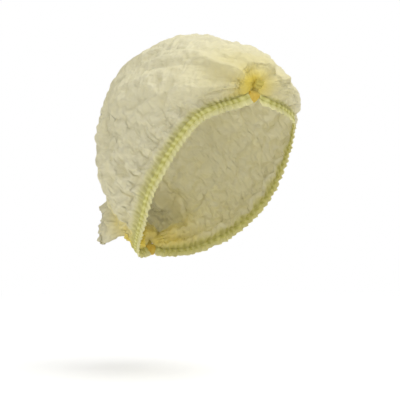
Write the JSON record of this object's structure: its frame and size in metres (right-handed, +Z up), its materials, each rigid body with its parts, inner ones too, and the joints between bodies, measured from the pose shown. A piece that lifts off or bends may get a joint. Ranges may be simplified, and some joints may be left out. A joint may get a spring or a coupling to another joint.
{
  "type": "hairnet",
  "caption": "Disposable pleated clip cap of pale yellow nonwoven cloth, in its worn form, with elastic edges, frills and welded end seals.",
  "frame": {"origin": "midway between the front seal and the back seal, in the opening where the head goes in", "axes": "+Z up as worn, the front of the cap faces -Y, +X to the wearer's left"},
  "size_m": [0.1765, 0.2286, 0.2193],
  "materials": {
    "crown_cloth": "matt pale yellow spunbond nonwoven, thin and slightly see-through, with fine bond dimples",
    "elastic_band": "matt yellow nonwoven gathered in several layers over a flat elastic, darker than the crown",
    "frill_cloth": "matt pale yellow nonwoven hem, ruffled",
    "welded_seal": "heat-welded stack of pleats, amber, stiff and slightly shiny"
  },
  "bodies": {
    "root": {"crown": "crown_cloth", "right_elastic_band": "elastic_band", "left_elastic_band": "elastic_band", "right_frill": "frill_cloth", "left_frill": "frill_cloth", "front_seal": "welded_seal", "back_seal": "welded_seal"}
  },
  "joints": []
}
